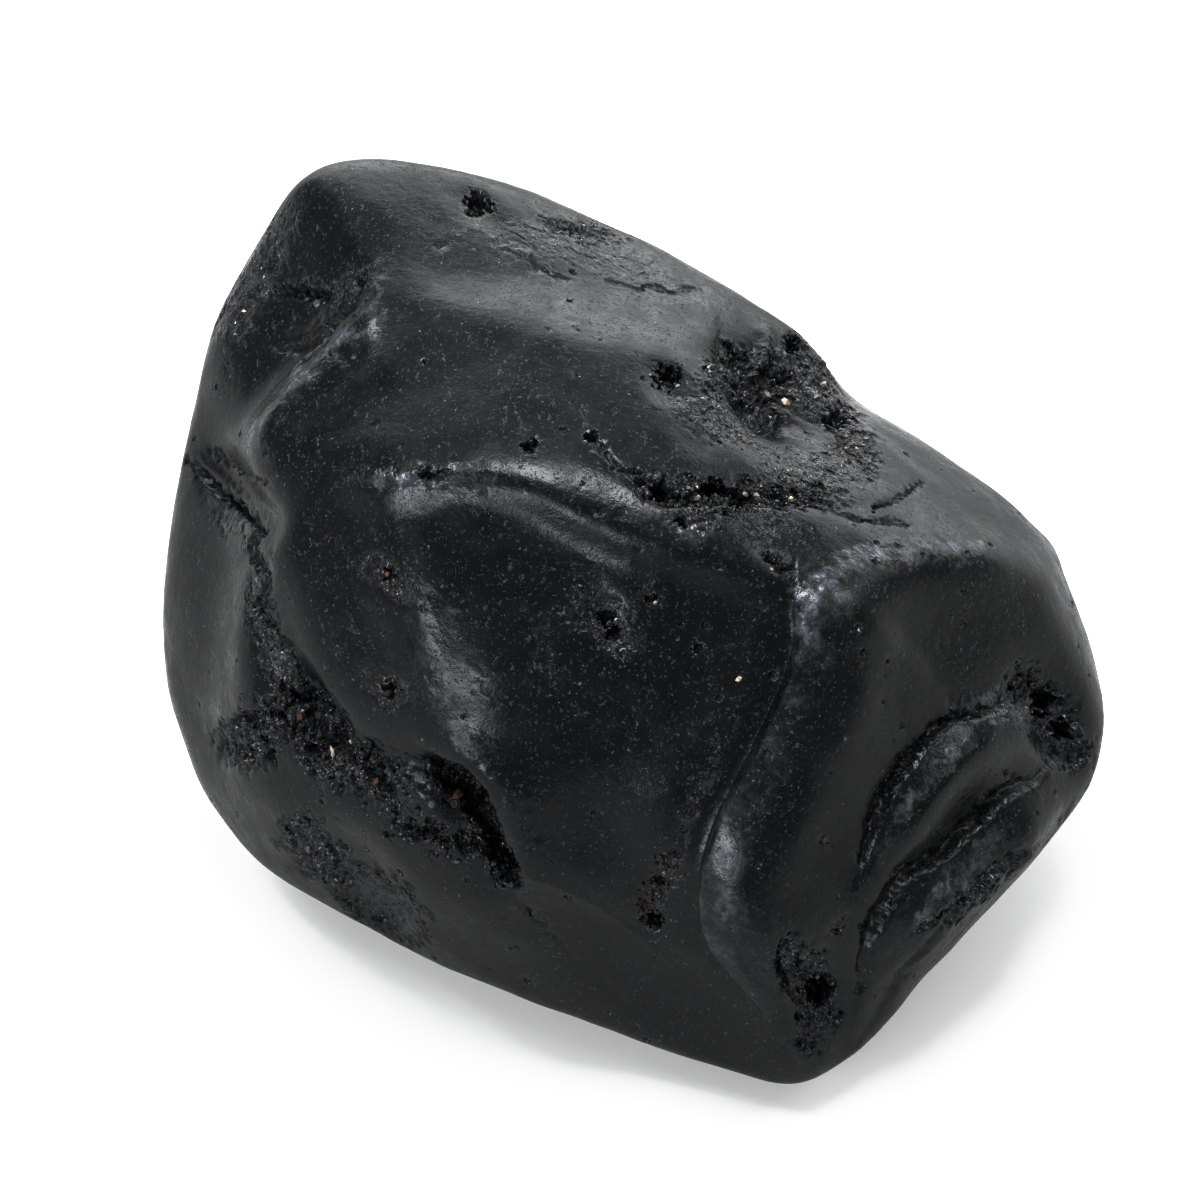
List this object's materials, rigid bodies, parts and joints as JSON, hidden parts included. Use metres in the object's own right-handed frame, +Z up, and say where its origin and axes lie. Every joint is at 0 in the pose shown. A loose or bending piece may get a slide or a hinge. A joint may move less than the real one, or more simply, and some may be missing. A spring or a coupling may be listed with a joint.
{
  "type": "tumbled black spinel",
  "caption": "Tumbled black spinel: a near-black, waxy stone with worn fracture faces, a raised lobe, stepped ledges and pitted crevices.",
  "frame": {"origin": "middle of the stone's box, on the surface that it rests on", "axes": "+Z up; +X along the stone's length, towards its ledged end; +Y from its front face to its back"},
  "size_m": [0.0298, 0.0254, 0.0198],
  "materials": {
    "spinel": "near-black polished stone with a waxy lustre, rough and sparkling in its crevices"
  },
  "bodies": {
    "root": {"stone": "spinel"}
  },
  "joints": []
}
